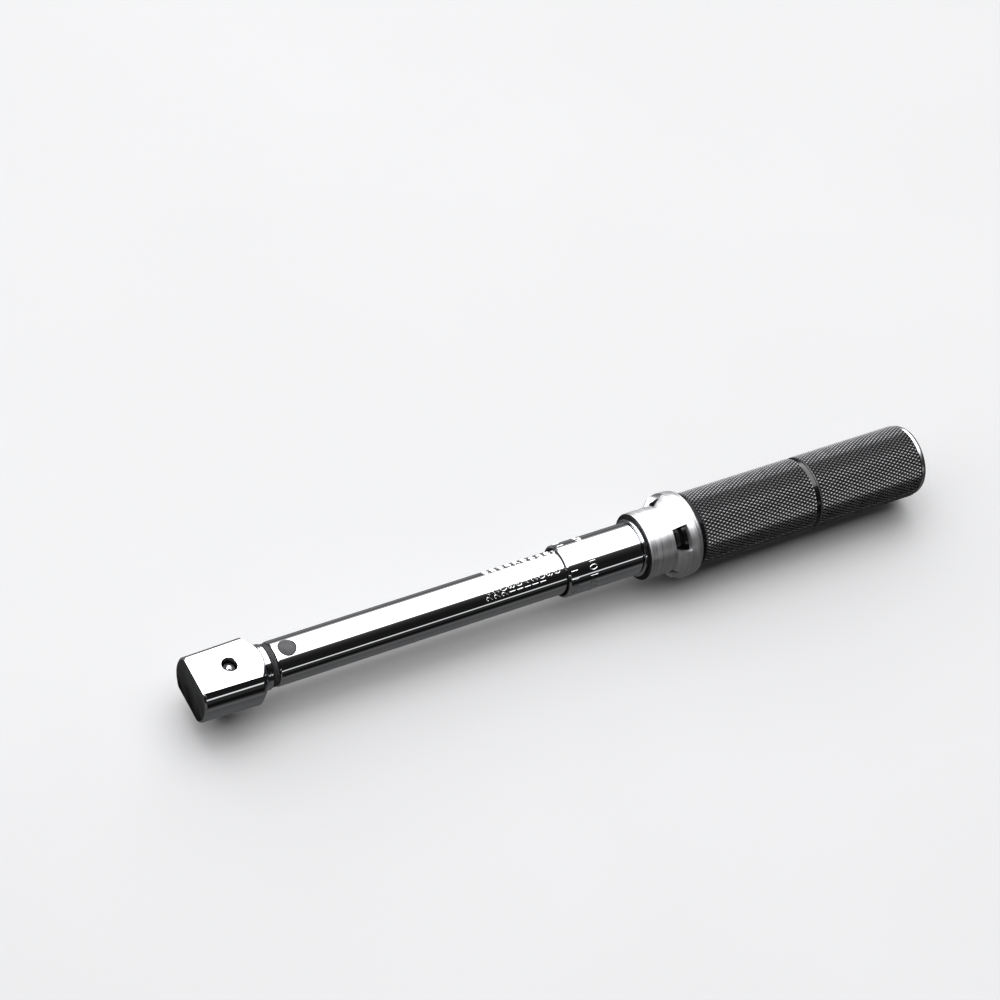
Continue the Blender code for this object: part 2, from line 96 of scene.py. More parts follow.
class Graph:
    """A material's node tree with short calls to add nodes."""

    def __init__(self, name):
        self.material = bpy.data.materials.new(name)
        self.material.use_nodes = True
        self.tree = self.material.node_tree
        self.shader = self.tree.nodes["Principled BSDF"]
        self.point = self.add("ShaderNodeTexCoord").outputs["Object"]

    def add(self, kind, inputs=None, **settings):
        node = self.tree.nodes.new(kind)
        for key, value in settings.items():
            setattr(node, key, value)
        for key, value in (inputs or {}).items():
            self.feed(node.inputs[key], value)
        return node

    def feed(self, socket, value):
        if isinstance(value, bpy.types.NodeSocket):
            self.tree.links.new(value, socket)
        else:
            socket.default_value = value

    def set(self, **values):
        for key, value in values.items():
            self.feed(self.shader.inputs[key.replace("_", " ")], value)

    def math(self, operation, *values):
        inputs = dict(enumerate(values))
        return self.add("ShaderNodeMath", inputs, operation=operation).outputs[0]

    def noise(self, scale, detail=2.0, stretch=(1, 1, 1), rough=0.5):
        mapped = self.add("ShaderNodeMapping", {"Vector": self.point, "Scale": stretch})
        inputs = {"Vector": mapped.outputs[0], "Scale": scale, "Detail": detail, "Roughness": rough}
        return self.add("ShaderNodeTexNoise", inputs).outputs["Fac"]

    def span(self, value, low, high, start=0.3, end=0.7):
        """Map a value from start..end to low..high."""
        inputs = {0: value, 1: start, 2: end, 3: low, 4: high}
        return self.add("ShaderNodeMapRange", inputs).outputs[0]

    def blend(self, share, first, second):
        """Mix two colours, each an (r, g, b) or a socket."""
        first, second = ((*c, 1.0) if isinstance(c, tuple) else c for c in (first, second))
        return self.add("ShaderNodeMix", {0: share, 6: first, 7: second}, data_type="RGBA").outputs[2]

    def bump(self, height, distance, strength=1.0):
        inputs = {"Height": height, "Distance": distance, "Strength": strength}
        return self.add("ShaderNodeBump", inputs).outputs[0]

    def length(self, first, second):
        """The length of a vector with two components."""
        squares = self.math("ADD", self.math("MULTIPLY", first, first), self.math("MULTIPLY", second, second))
        return self.math("SQRT", squares)

    def radius(self):
        """Distance from the wrench's axis, in metres."""
        parts = self.add("ShaderNodeSeparateXYZ", {0: self.point}).outputs
        height = self.math("SUBTRACT", parts[2], AXIS_Z)
        return self.length(parts[1], height)

    def inside_hole(self):
        """1 on the wall of the head's round hole, below its bevel, and 0 everywhere else: the mask for the
        shade painted there.
        """
        parts = self.add("ShaderNodeSeparateXYZ", {0: self.point}).outputs
        along = self.math("SUBTRACT", parts[0], ORIGIN.x + HOLE_X * MM)
        near = self.math("LESS_THAN", self.length(along, parts[1]), (HOLE_R + 0.04) * MM)
        low = self.math("LESS_THAN", parts[2], AXIS_Z + (FLAT_HEIGHT - HOLE_BEVEL - 0.08) * MM)
        return self.math("MULTIPLY", near, low)


def chrome_plate(name, roughness):
    """Chrome with a faint cloud in it, dull on the wall of the head's hole and darkened there with painted
    shade.
    """
    g = Graph(name)
    cloud = g.noise(70, 3)
    tint = g.blend(g.span(cloud, 0, 1), (0.78, 0.79, 0.81), (0.85, 0.86, 0.87))
    # The darker grey on the wall of the head's hole is painted shade in that recess, and the wall is also
    # rougher there.
    painted_hole_shade = g.inside_hole()
    g.set(
        Base_Color=g.blend(painted_hole_shade, tint, (0.24, 0.24, 0.245)),
        Metallic=1.0,
        Roughness=g.math("ADD", g.span(cloud, roughness, roughness * 1.6), g.span(painted_hole_shade, 0.0, 0.3, 0.0, 1.0)),
        Normal=g.bump(g.noise(160, 1), 0.000004),
    )
    return g.material


def satin_steel():
    """Brushed steel with fine turned lines round the wrench's axis."""
    g = Graph("satin_steel")
    lines = g.noise(1, 3, (2600, 26, 26), 0.6)
    patches = g.noise(220, 3)
    tangent = g.add("ShaderNodeTangent", direction_type="RADIAL", axis="X").outputs[0]
    g.set(
        Base_Color=g.blend(g.span(lines, 0, 1), (0.62, 0.62, 0.63), (0.93, 0.93, 0.94)),
        Metallic=1.0,
        Roughness=g.math("ADD", g.span(lines, 0.30, 0.42), g.span(patches, -0.03, 0.03)),
        Anisotropic=0.35,
        Tangent=tangent,
        Normal=g.bump(lines, 0.00003, 0.8),
    )
    return g.material


def ground_steel(name, dark, light, roughness):
    """Ground or machined steel with a short grain and faint stains."""
    g = Graph(name)
    grain = g.noise(2600, 4, (1, 0.25, 1), 0.7)
    stain = g.noise(260, 3)
    g.set(
        Base_Color=g.blend(g.span(g.math("MULTIPLY", grain, stain), 0, 1, 0.15, 0.38), dark, light),
        Metallic=1.0,
        Roughness=g.span(grain, roughness - 0.06, roughness + 0.10),
        Normal=g.bump(grain, 0.00002, 0.5),
    )
    return g.material


def black_anodised():
    """Black coating, rubbed through to bare metal on the crests of the knurl and dull in its valleys."""
    g = Graph("black_anodised")
    dust = g.noise(1800, 3)
    radius = g.radius()
    rubbed = g.span(radius, 0.0, 1.0, (GRIP_R - 0.7 * KNURL_DEPTH) * MM, (GRIP_R - 0.3 * KNURL_DEPTH) * MM)
    wear = g.math("MULTIPLY", rubbed, g.span(g.noise(300, 4), 0.7, 1.0))
    g.set(
        Base_Color=g.blend(wear, (0.004, 0.004, 0.0045), (0.24, 0.24, 0.244)),
        Metallic=wear,
        Roughness=g.span(dust, 0.12, 0.2),
        Specular_IOR_Level=g.span(radius, 0.6, 0.12, (GRIP_R - 0.58) * MM, (GRIP_R - 0.48) * MM),
        Normal=g.bump(dust, 0.00001, 0.3),
    )
    return g.material


def seal_rubber():
    g = Graph("seal_rubber")
    grain = g.noise(1500, 4)
    g.set(
        Base_Color=g.blend(g.span(grain, 0, 1), (0.012, 0.012, 0.013), (0.035, 0.035, 0.037)),
        Roughness=g.span(grain, 0.42, 0.6),
        Specular_IOR_Level=0.12,
        Normal=g.bump(grain, 0.00003, 0.6),
    )
    return g.material


def nut_brass():
    g = Graph("nut_brass")
    lines = g.noise(1, 3, (2200, 30, 30))
    g.set(
        Base_Color=g.blend(g.span(lines, 0, 1), (0.55, 0.40, 0.17), (0.78, 0.60, 0.30)),
        Metallic=1.0,
        Roughness=g.span(lines, 0.25, 0.4),
        Normal=g.bump(lines, 0.00002, 0.5),
    )
    return g.material


def etched_mark():
    g = Graph("etched_mark")
    grain = g.noise(4000, 4)
    g.set(
        Base_Color=g.blend(g.span(grain, 0, 1), (0.70, 0.70, 0.71), (0.90, 0.90, 0.91)),
        Metallic=1.0,
        Roughness=g.span(grain, 0.12, 0.24),
        Normal=g.bump(grain, 0.00001, 0.5),
    )
    return g.material


CHROME = chrome_plate("polished_chrome", 0.02)
SOFT_CHROME = chrome_plate("soft_chrome", 0.2)
SATIN = satin_steel()
PIN = ground_steel("pin_steel", (0.035, 0.035, 0.036), (0.07, 0.07, 0.072), 0.45)
TOOL = ground_steel("tool_steel", (0.30, 0.30, 0.31), (0.50, 0.50, 0.51), 0.34)
SPRING = ground_steel("spring_steel", (0.16, 0.16, 0.17), (0.34, 0.34, 0.35), 0.36)
BEARING = ground_steel("bearing_steel", (0.66, 0.66, 0.67), (0.76, 0.76, 0.77), 0.12)
ANODISED = black_anodised()
SEAL = seal_rubber()
BRASS = nut_brass()
MARK = etched_mark()


# ---------------------------------------------------------------- mesh makers


def soften(outline, closed=True, steps=4):
    """Round each (x, r, fillet) corner of an outline, with a support point a little way off on both sides."""

    def support(point, side):
        return tuple(point + side.normalized() * min(0.12, 0.08 * side.length))

    points = []
    count = len(outline)
    for index, (x, r, fillet) in enumerate(outline):
        if fillet == 0 or (not closed and index in (0, count - 1)):
            points.append((x, r))
            continue
        here = Vector((x, r))
        back = Vector(outline[index - 1][:2]) - here
        ahead = Vector(outline[(index + 1) % count][:2]) - here
        half = back.angle(ahead) / 2
        cut = min(fillet / math.tan(half), 0.4 * back.length, 0.4 * ahead.length)
        start = here + back.normalized() * cut
        end = here + ahead.normalized() * cut
        points.append(support(start, back))
        for k in range(steps + 1):
            t = k / steps
            point = start * (1 - t) ** 2 + here * (2 * t * (1 - t)) + end * t**2
            points.append(tuple(point))
        points.append(support(end, ahead))
    return points


def link(name, mesh, material, body, replaced=(), sharp=38):
    """Put a finished mesh into the scene as one piece."""
    mesh.materials.clear()
    mesh.materials.append(material)
    mesh.shade_smooth()
    mesh.set_sharp_from_angle(angle=math.radians(sharp))
    piece = bpy.data.objects.new(name, mesh)
    scene.collection.objects.link(piece)
    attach(piece, body)
    if replaced:
        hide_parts(*replaced)
    return piece


def darken_front(piece, x):
    """Give the face at a piece's front, at station x, the dark pin steel, which draws a dark line along that
    edge.
    """
    piece.data.materials.append(PIN)
    tolerance = 0.04
    limit = ORIGIN.x + (x + tolerance) * MM
    for face in piece.data.polygons:
        if face.center.x < limit:
            face.material_index = 1


def skin(rings, closed):
    """Join equal rings of points into quads. A ring whose points all coincide becomes one point."""
    mesh = bpy.data.meshes.new("skin")
    count = len(rings[0])
    points = []
    starts = []
    for ring in rings:
        starts.append(len(points))
        single = np.ptp(ring, axis=0).max() < 1e-9
        points.extend(map(tuple, ring[:1] if single else ring))
    starts.append(len(points))
    sizes = [starts[i + 1] - starts[i] for i in range(len(rings))]
    faces = []
    pairs = len(rings) if closed else len(rings) - 1
    for i in range(pairs):
        j = (i + 1) % len(rings)
        if sizes[i] == 1 and sizes[j] == 1:
            continue
        for k in range(count):
            m = (k + 1) % count
            quad = [starts[i] + (k if sizes[i] > 1 else 0), starts[j] + (k if sizes[j] > 1 else 0)]
            if sizes[j] > 1:
                quad.append(starts[j] + m)
            if sizes[i] > 1:
                quad.append(starts[i] + m)
            faces.append(quad)
    mesh.from_pydata(points, [], faces)
    tidy_normals(mesh)
    return mesh


def tidy_normals(mesh):
    """Turn all faces outwards."""
    shape = bmesh.new()
    shape.from_mesh(mesh)
    bmesh.ops.recalc_face_normals(shape, faces=shape.faces)
    shape.to_mesh(mesh)
    shape.free()


def placed(points):
    """Points in millimetres from the head's front on the axis, as metres in the row frame."""
    return points * MM + np.array(ORIGIN)


def capped(rings):
    """Rings of points with a single point at the middle of each end, so that skin closes both ends."""
    return [rings[0] * 0 + rings[0].mean(0), *rings, rings[-1] * 0 + rings[-1].mean(0)]


def wrapped_mesh(name, points, faces):
    """A mesh whose points are (x, r, angle) round the wrench's axis."""
    x, r, angle = np.array(points).T
    mesh = bpy.data.meshes.new(name)
    mesh.from_pydata(placed(np.stack([x, r * np.cos(angle), r * np.sin(angle)], 1)).tolist(), [], faces)
    tidy_normals(mesh)
    return mesh


def along_axis(x, radii, angles):
    """A ring of points round the wrench's axis at station x, in metres in the row frame."""
    radii = np.broadcast_to(radii, angles.shape)
    return placed(np.stack([np.full(angles.shape, x), radii * np.cos(angles), radii * np.sin(angles)], 1))


def round_angles(segments):
    return np.arange(segments) * math.tau / segments


def turned_mesh(outline, segments=SEGMENTS):
    """A closed outline of (x, r, fillet) corners spun round the wrench's axis."""
    angles = round_angles(segments)
    return skin([along_axis(x, r, angles) for x, r in soften(outline)], closed=True)


def upright_mesh(outline, x, segments=SMALL_SEGMENTS, y=0.0):
    """An open outline of (z, r, fillet) corners, from top centre to bottom centre, spun upright."""
    angles = round_angles(segments)
    rings = []
    for z, r in soften(outline, closed=False):
        ring = np.stack([x + r * np.cos(angles), y + r * np.sin(angles), np.full(segments, z)], 1)
        rings.append(placed(ring))
    return skin(rings, closed=False)


def box_mesh(low, high):
    """A box between two corners in millimetres from the head's front on the axis."""
    shape = bmesh.new()
    bmesh.ops.create_cube(shape, size=1.0)
    size = Vector(high) - Vector(low)
    bmesh.ops.scale(shape, vec=size * MM, verts=shape.verts)
    bmesh.ops.translate(shape, vec=(Vector(high) + Vector(low)) / 2 * MM + ORIGIN, verts=shape.verts)
    mesh = bpy.data.meshes.new("box")
    shape.to_mesh(mesh)
    shape.free()
    return mesh


def carve(mesh, tool, operation="DIFFERENCE"):
    """Return mesh with another mesh cut out of it or joined to it."""
    target = bpy.data.objects.new("target", mesh)
    cutter = bpy.data.objects.new("cutter", tool)
    for thing in (target, cutter):
        scene.collection.objects.link(thing)
    boolean = target.modifiers.new("carve", "BOOLEAN")
    boolean.operation = operation
    boolean.solver = "EXACT"
    boolean.object = cutter
    bpy.context.view_layer.update()
    made = bpy.data.meshes.new_from_object(target.evaluated_get(bpy.context.evaluated_depsgraph_get()))
    for thing in (target, cutter):
        bpy.data.objects.remove(thing)
    return made


def spun_tool(outline, x, segments=SMALL_SEGMENTS):
    """A cutter: an outline of sharp (z, r) corners spun round the vertical line at station x."""
    return upright_mesh([(z, r, 0) for z, r in outline], x, segments)


def drill(mesh, radius, x, reach=9, segments=SMALL_SEGMENTS):
    """Cut a round hole straight down through the axis at station x."""
    return carve(mesh, spun_tool([(reach, 0), (reach, radius), (-reach, radius), (-reach, 0)], x, segments))


# ---------------------------------------------------------------- head


def smooth_min(first, second, width):
    """The lesser of two lengths, with the corner between them rounded over width."""
    share = np.clip(1 - np.abs(first - second) / width, 0, None)
    return np.minimum(first, second) - share**2 * width / 4


def flatted_ring(x, radius, height, angles, scale=1.0):
    """A round section with a flat above and below."""
    edge_width = 0.35
    reach = height / np.maximum(np.abs(np.sin(angles)), 1e-6)
    return along_axis(x, smooth_min(np.full(angles.shape, radius), reach, edge_width) * scale, angles)


def head_mesh():
    """The head with its chamfered nose, rear shoulder, lever arm, and pivot and button holes."""
    angles = round_angles(480)
    shoulder_start, shoulder_end = 20.7, 23.8
    nose = soften([(0.0, 3.0, 0), (0.0, 0.6, 0.12), (0.6, 0.0, 0.12), (3.0, 0.0, 0)], closed=False)
    rings = [flatted_ring(0.0, 7.7, 5.0, angles, scale) for scale in (0.0, 0.5)]
    rings += [flatted_ring(x, 10.7 - inset, FLAT_HEIGHT - inset, angles) for x, inset in nose]
    rear = soften(
        [
            (3.0, 10.75, 0),
            (20.3, 11.1, 0.2),
            (20.75, 10.72, 0.2),
            (23.75, 7.7, 0.15),
            (24.25, 7.7, 0.1),
            (24.35, 7.3, 0.05),
            (24.6, 7.3, 0.05),
            (24.7, 7.6, 0.1),
            (25.4, 7.6, 0.15),
            (25.5, 5.6, 0.1),
            (39.0, 5.6, 0.2),
            (39.0, 0.0, 0),
        ],
        closed=False,
    )
    dense = []  # the shoulder in small steps, as its edge with the flats is curved
    for (x0, r0), (x1, r1) in zip(rear, rear[1:]):
        parts = max(1, round((r0 - r1) / 0.14)) if shoulder_start < (x0 + x1) / 2 < shoulder_end else 1
        dense += [(x0 + (x1 - x0) * k / parts, r0 + (r1 - r0) * k / parts) for k in range(parts)]
    dense.append(rear[-1])
    rings += [flatted_ring(x, r, FLAT_HEIGHT, angles) for x, r in dense[1:]]
    head = skin(rings, closed=False)
    lever = box_mesh((37.0, -2.8, -3.8), (70.0, 2.8, 3.8))
    head = carve(head, lever, "UNION")
    head = drill(head, 3.3, PIVOT_X)
    well = [
        (9, 0),
        (9, 3.72),
        (FLAT_HEIGHT - HOLE_BEVEL, HOLE_R),
        (0.8, HOLE_R),
        (0.8, 4.9),
        (0.6 - FLAT_HEIGHT, 4.9),
        (-9, 6.3),
        (-9, 0),
    ]
    return carve(head, spun_tool(well, HOLE_X))


link("head_shell", head_mesh(), CHROME, "head", ["head_body"])


def drive_mesh():
    """The square drive: a round shank, a shouldered square with rounded corners, and its two bores."""
    corner = 0.7
    half = 3.175
    tip_z = -15.4
    ball_z = -11.5
    ring = []
    for quarter in range(4):
        start = quarter * math.pi / 2
        centre = Vector((half - corner, half - corner))
        for k in range(9):
            turn = start + math.pi / 2 * k / 8
            offset = Matrix.Rotation(start, 2) @ centre
            ring.append((offset.x + corner * math.cos(turn), offset.y + corner * math.sin(turn)))
    ring = np.array(ring)
    rings = []
    insets = [(-4.0, 3.1, 0), (-4.0, 0.0, 0), (-14.75, 0.0, 0.2), (tip_z, 0.65, 0.15), (tip_z, 3.1, 0)]
    for z, inset in soften(insets, closed=False):
        scale = 1 - inset / half
        rings.append(placed(np.column_stack([ring * scale, np.full(len(ring), z)]) + (HOLE_X, 0, 0)))
    square = skin(capped(rings), closed=False)
    shank = upright_mesh([(0.5, 0, 0), (0.5, 4.6, 0.2), (-8.0, 4.6, 0.3), (-8.0, 0, 0)], HOLE_X)
    drive = carve(shank, square, "UNION")
    drive = carve(drive, spun_tool([(2, 0), (2, 1.4), (-13.6, 1.4), (-13.6, 0)], HOLE_X))
    angles = round_angles(48)
    across, up = 1.25 * np.cos(angles), 1.25 * np.sin(angles)
    ball_hole = [placed(np.stack([HOLE_X + across, np.full(48, y), ball_z + up], 1)) for y in (-6.0, -0.2)]
    return carve(drive, skin(capped(ball_hole), closed=False))


link("drive_square", drive_mesh(), SATIN, "head", ["square_drive"])

pin_outline = [
    (6.0, 0, 0),
    (5.9, 1.9, 0.2),
    (5.6, 2.15, 0.15),
    (4.0, 2.15, 0.1),
    (4.0, 1.1, 0.05),
    (-9.2, 1.1, 0.1),
    (-9.5, 0.55, 0.1),
    (-10.8, 0.55, 0.1),
    (-11.1, 1.1, 0.1),
    (-12.0, 1.1, 0.2),
    (-12.3, 0.7, 0.1),
    (-12.3, 0, 0),
]
button = upright_mesh(pin_outline, HOLE_X, 64)
link("release_button", button, PIN, "release_button", ["release_pin"])
crown_outline = [(6.8, 0, 0), (6.68, 0.65, 0.4), (6.3, 1.15, 0.4), (5.6, 1.3, 0.05), (5.6, 0, 0)]
crown = upright_mesh(crown_outline, HOLE_X, 48)
link("button_crown", crown, BEARING, "release_button")

ball_outline = [(-11.5 + math.cos(t), math.sin(t), 0) for t in np.linspace(0, math.pi, 25)]
ball = upright_mesh(ball_outline, HOLE_X, 48, y=-2.45)
link("drive_ball", ball, BEARING, "detent", ["detent_ball"])

# ---------------------------------------------------------------- tube and pivot
tube = turned_mesh(
    [
        (28.0, 6.2, 0.1),
        (28.0, 7.15, 0.08),
        (28.35, TUBE_R, 0.1),
        (206.5, TUBE_R, 0.1),
        (206.5, 6.2, 0.1),
    ],
    FINE_SEGMENTS,
)
tube = drill(tube, 3.12, PIVOT_X)
tube = drill(tube, 1.3, 198.0, segments=32)
link("tube_body", tube, CHROME, "frame", ["tube"])

seal = [(25.9, 6.1, 0.1), (25.9, 7.2, 0.25), (27.7, 7.2, 0.25), (27.7, 6.1, 0.1)]
link("seal_ring", turned_mesh(seal), SEAL, "frame", ["neck_seal"])

pivot = [(7.2, 0, 0), (7.2, 3.0, 0.14), (-7.2, 3.0, 0.14), (-7.2, 0, 0)]
link("pivot_rivet", upright_mesh(pivot, PIVOT_X), PIN, "frame", ["pivot_pin"])

# ---------------------------------------------------------------- scale sleeve
sleeve = turned_mesh(
    [
        (SLEEVE_FRONT_X, 7.8, 0.06),
        (SLEEVE_FRONT_X, 8.35, 0.05),
        (134.4, SLEEVE_R, 0.15),
        (162.1, SLEEVE_R, 0.1),
        (162.4, 8.6, 0.05),
        (164.1, 8.6, 0.05),
        (164.4, SLEEVE_R, 0.1),
        (200.0, SLEEVE_R, 0.1),
        (200.0, 7.8, 0.1),
    ],
    FINE_SEGMENTS,
)
sleeve = drill(sleeve, 0.95, 165.3, reach=10, segments=32)
sleeve_piece = link("sleeve_body", sleeve, CHROME, "handle", ["scale_sleeve"])
darken_front(sleeve_piece, SLEEVE_FRONT_X)
stop = [(162.7, 8.9, 0), (162.7, 9.9, 0.2), (163.8, 9.9, 0.2), (163.8, 8.9, 0)]
link("sleeve_ring", turned_mesh(stop), CHROME, "handle", ["stop_ring"])

# ---------------------------------------------------------------- lock collar
collar = turned_mesh(
    [
        (COLLAR_FRONT_X, 9.4, 0.05),
        (COLLAR_FRONT_X, 11.6, 0.3),
        (173.8, 11.6, 0.3),
        (177.2, 14.8, 0.3),
        (180.4, 14.8, 0.03),
        (180.6, 14.45, 0.02),
        (180.8, 14.76, 0.03),
        (182.4, 14.45, 0.2),
        (183.0, 13.9, 0.15),
        (183.0, 12.95, 0.1),
        (177.0, 12.95, 0.2),
        (174.6, 10.6, 0.2),
        (166.5, 10.6, 0.1),
        (166.5, 9.4, 0.1),
    ],
    FINE_SEGMENTS,
)
WINDOW_HALF_ANGLE = 18.5
WINDOW_STATIONS = (173.8, 178.0)
WINDOW_RADII = np.array([9.8, 9.8, 17.0, 17.0])  # inside and outside the collar's wall
for turn in (33.0, 131.0, 213.0, 311.0):
    first, last = turn - WINDOW_HALF_ANGLE, turn + WINDOW_HALF_ANGLE
    sides = np.radians([first, last, last, first])
    window = skin(capped([along_axis(x, WINDOW_RADII, sides) for x in WINDOW_STATIONS]), closed=False)
    collar = carve(collar, window)
collar_piece = link("collar_body", collar, SATIN, "collar", ["lock_collar"], 30)
darken_front(collar_piece, COLLAR_FRONT_X)

# ---------------------------------------------------------------- knurled grip


def knurl_band(first, last, columns, rows, valley, top, crest=0.16):
    """Rows of diamonds between two stations: points as (x, r, angle), faces, and the front and rear rims.

    A diamond is two columns wide and two rows long. Its corners lie in the valleys, and its flat
    crest reaches the share `crest` of the way out to them.
    """
    points = []
    faces = []
    index = {}
    step = (last - first) / rows
    swing = math.tau / columns

    def corner(i, j):
        key = (i, j % columns)
        if key not in index:
            index[key] = len(points)
            points.append((first + i * step, valley, key[1] * swing))
        return index[key]

    def crown(i, j, di, dj):
        key = (i, j % columns, di, dj)
        if key not in index:
            index[key] = len(points)
            points.append((first + (i + di * crest) * step, top, (j + dj * crest) * swing))
        return index[key]

    for i in range(rows + 1):
        for j in range((i + 1) % 2, columns, 2):
            sides = [(0, -1), (1, 0), (0, 1), (-1, 0)]
            sides = [s for s in sides if 0 <= i + s[0] <= rows]
            if len(sides) == 4:
                base = [corner(i + a, j + b) for a, b in sides]
                cap = [crown(i, j, a, b) for a, b in sides]
                faces.append(cap)
                for k in range(4):
                    m = (k + 1) % 4
                    faces.append([base[k], base[m], cap[m], cap[k]])
            else:
                sides = [(0, -1), (1, 0), (0, 1)] if i == 0 else [(0, 1), (-1, 0), (0, -1)]
                base = [corner(i + a, j + b) for a, b in sides]
                cap = [crown(i, j, a, b) for a, b in sides]
                faces.append(cap)
                faces.append([base[0], base[1], cap[1], cap[0]])
                faces.append([base[1], base[2], cap[2], cap[1]])
    rims = []
    for i in (0, rows):
        rim = []
        for j in range((i + 1) % 2, columns + (i + 1) % 2, 2):
            rim += [corner(i, j - 1), crown(i, j, 0, -1), crown(i, j, 0, 1)]
        rims.append(rim)
    return points, faces, rims[0], rims[1]


def grip_mesh():
    """The grip's two knurled bands, the smooth groove between them, and its turned nose, tail and bore."""
    columns = 120
    valley = GRIP_R - KNURL_DEPTH
    pitch = 2.24
    groove_gap = 1.15
    points = []
    faces = []

    def add_band(first, last):
        rows = 2 * round((last - first) / pitch)
        band, quads, front, rear = knurl_band(first, last, columns, rows, valley, GRIP_R)
        offset = len(points)
        points.extend(band)
        faces.extend([[offset + v for v in face] for face in quads])
        return [offset + v for v in front], [offset + v for v in rear]

    def add_lathe(outline, start, end=None):
        """Carry a rim on through an outline of (x, r), and close onto another rim if one is given."""
        current = start
        angles = [points[v][2] for v in start]
        for x, r in outline:
            ring = list(range(len(points), len(points) + len(angles)))
            points.extend([(x, r, a) for a in angles])
            join(current, ring)
            current = ring
        if end is not None:
            join(current, end)
        return current

    def join(first, second):
        for k in range(len(first)):
            m = (k + 1) % len(first)
            faces.append([first[k], first[m], second[m], second[k]])

    front_a, rear_a = add_band(KNURL_FRONT, GROOVE_X - groove_gap)
    front_b, rear_b = add_band(GROOVE_X + groove_gap, KNURL_REAR)
    groove = soften(
        [
            (GROOVE_X - 1.10, 12.6, 0.05),
            (GROOVE_X - 0.75, 12.15, 0.12),
            (GROOVE_X + 0.75, 12.15, 0.12),
            (GROOVE_X + 1.10, 12.6, 0.05),
        ],
        closed=False,
        steps=3,
    )
    add_lathe(groove, rear_a, front_b)
    nose = soften(
        [
            (185.2, 12.3, 0.1),
            (180.5, 12.3, 0.3),
            (178.0, 10.2, 0.3),
            (173.6, 10.2, 0.2),
            (173.4, 10.0, 0.1),
            (173.4, 9.3, 0.1),
            (200.0, 9.3, 0),
        ],
        closed=False,
        steps=3,
    )
    nose_end = add_lathe(nose, front_a)
    tail = soften(
        [
            (274.5, 12.3, 0.1),
            (274.7, 12.1, 0.1),
            (274.7, 9.3, 0.1),
            (250.0, 9.3, 0),
        ],
        closed=False,
        steps=3,
    )
    add_lathe(tail, rear_b, nose_end)
    return wrapped_mesh("grip", points, faces)


link("knurled_grip", grip_mesh(), ANODISED, "handle", ["grip"], 16)

# ---------------------------------------------------------------- end cap and screw
cap = turned_mesh(
    [
        (262.5, 4.3, 0.1),
        (262.5, 9.0, 0.4),
        (275.0, 9.0, 0.05),
        (275.0, 12.3, 0.1),
        (275.9, 12.3, 0.4),
        (277.0, 11.7, 0.7),
        (277.5, 10.5, 0.5),
        (277.5, 3.9, 0.15),
        (276.4, 3.9, 0.05),
        (274.4, 2.2, 0.05),
        (268.3, 2.2, 0.05),
        (268.3, 4.3, 0.05),
    ],
)
link("cap_body", cap, SOFT_CHROME, "handle", ["end_cap"])


def screw_mesh():
    """A countersunk screw with a hexagon socket."""
    angles = round_angles(SMALL_SEGMENTS)
    outline = soften(
        [
            (258.0, 0, 0),
            (258.0, 1.6, 0.1),
            (258.3, 1.9, 0.1),
            (274.5, 1.9, 0.1),
            (276.5, 3.6, 0.15),
            (277.0, 3.6, 0.12),
            (277.0, 0, 0),
        ],
        closed=False,
    )
    body = skin([along_axis(x, r, angles) for x, r in outline], closed=False)
    six = round_angles(6) + math.radians(30)
    hexagon = [(274.2, 0), (275.0, 1.75), (278.0, 1.75), (278.0, 0)]
    return carve(body, skin([along_axis(x, r, six) for x, r in hexagon], closed=False))


link("socket_screw", screw_mesh(), TOOL, "handle", ["cap_screw"])

# ---------------------------------------------------------------- etched scales


def loop(centre, half_width, half_height, sides):
    """A closed oval in a digit's box."""
    turns = np.linspace(0, math.tau, sides + 1)
    return [(0.3 + half_width * math.cos(t), centre + half_height * math.sin(t)) for t in turns]


# Each digit is a list of strokes in a box 0.6 wide and 1 high
SIX = [
    (0.54, 0.90),
    (0.40, 0.99),
    (0.24, 0.97),
    (0.09, 0.80),
    (0.01, 0.52),
    (0.02, 0.24),
    (0.12, 0.06),
    (0.30, 0.00),
    (0.48, 0.06),
    (0.59, 0.24),
    (0.55, 0.46),
    (0.40, 0.59),
    (0.20, 0.58),
    (0.05, 0.42),
]
DIGITS = {
    "0": [loop(0.5, 0.3, 0.5, 20)],
    "1": [[(0.12, 0.80), (0.32, 1.0), (0.32, 0.0)]],
    "2": [
        [
            (0.03, 0.74),
            (0.10, 0.92),
            (0.30, 1.0),
            (0.50, 0.92),
            (0.57, 0.73),
            (0.47, 0.52),
            (0.02, 0.0),
            (0.60, 0.0),
        ],
    ],
    "3": [
        [(0.04, 0.86), (0.26, 1.0), (0.50, 0.88), (0.50, 0.65), (0.26, 0.54)],
        [(0.26, 0.54), (0.54, 0.42), (0.58, 0.18), (0.40, 0.01), (0.16, 0.02), (0.02, 0.16)],
    ],
    "4": [[(0.45, 0.0), (0.45, 1.0), (0.0, 0.28), (0.60, 0.28)]],
    "5": [
        [
            (0.54, 1.0),
            (0.10, 1.0),
            (0.05, 0.54),
            (0.28, 0.62),
            (0.52, 0.52),
            (0.60, 0.30),
            (0.50, 0.08),
            (0.26, 0.0),
            (0.02, 0.12),
        ],
    ],
    "6": [SIX],
    "7": [[(0.0, 1.0), (0.60, 1.0), (0.22, 0.0)]],
    "8": [loop(0.76, 0.25, 0.24, 16), loop(0.27, 0.3, 0.27, 16)],
    "9": [[(0.6 - x, 1 - y) for x, y in SIX]],
}


DIGIT_STROKE = 0.38
TICK_STROKE = 0.4


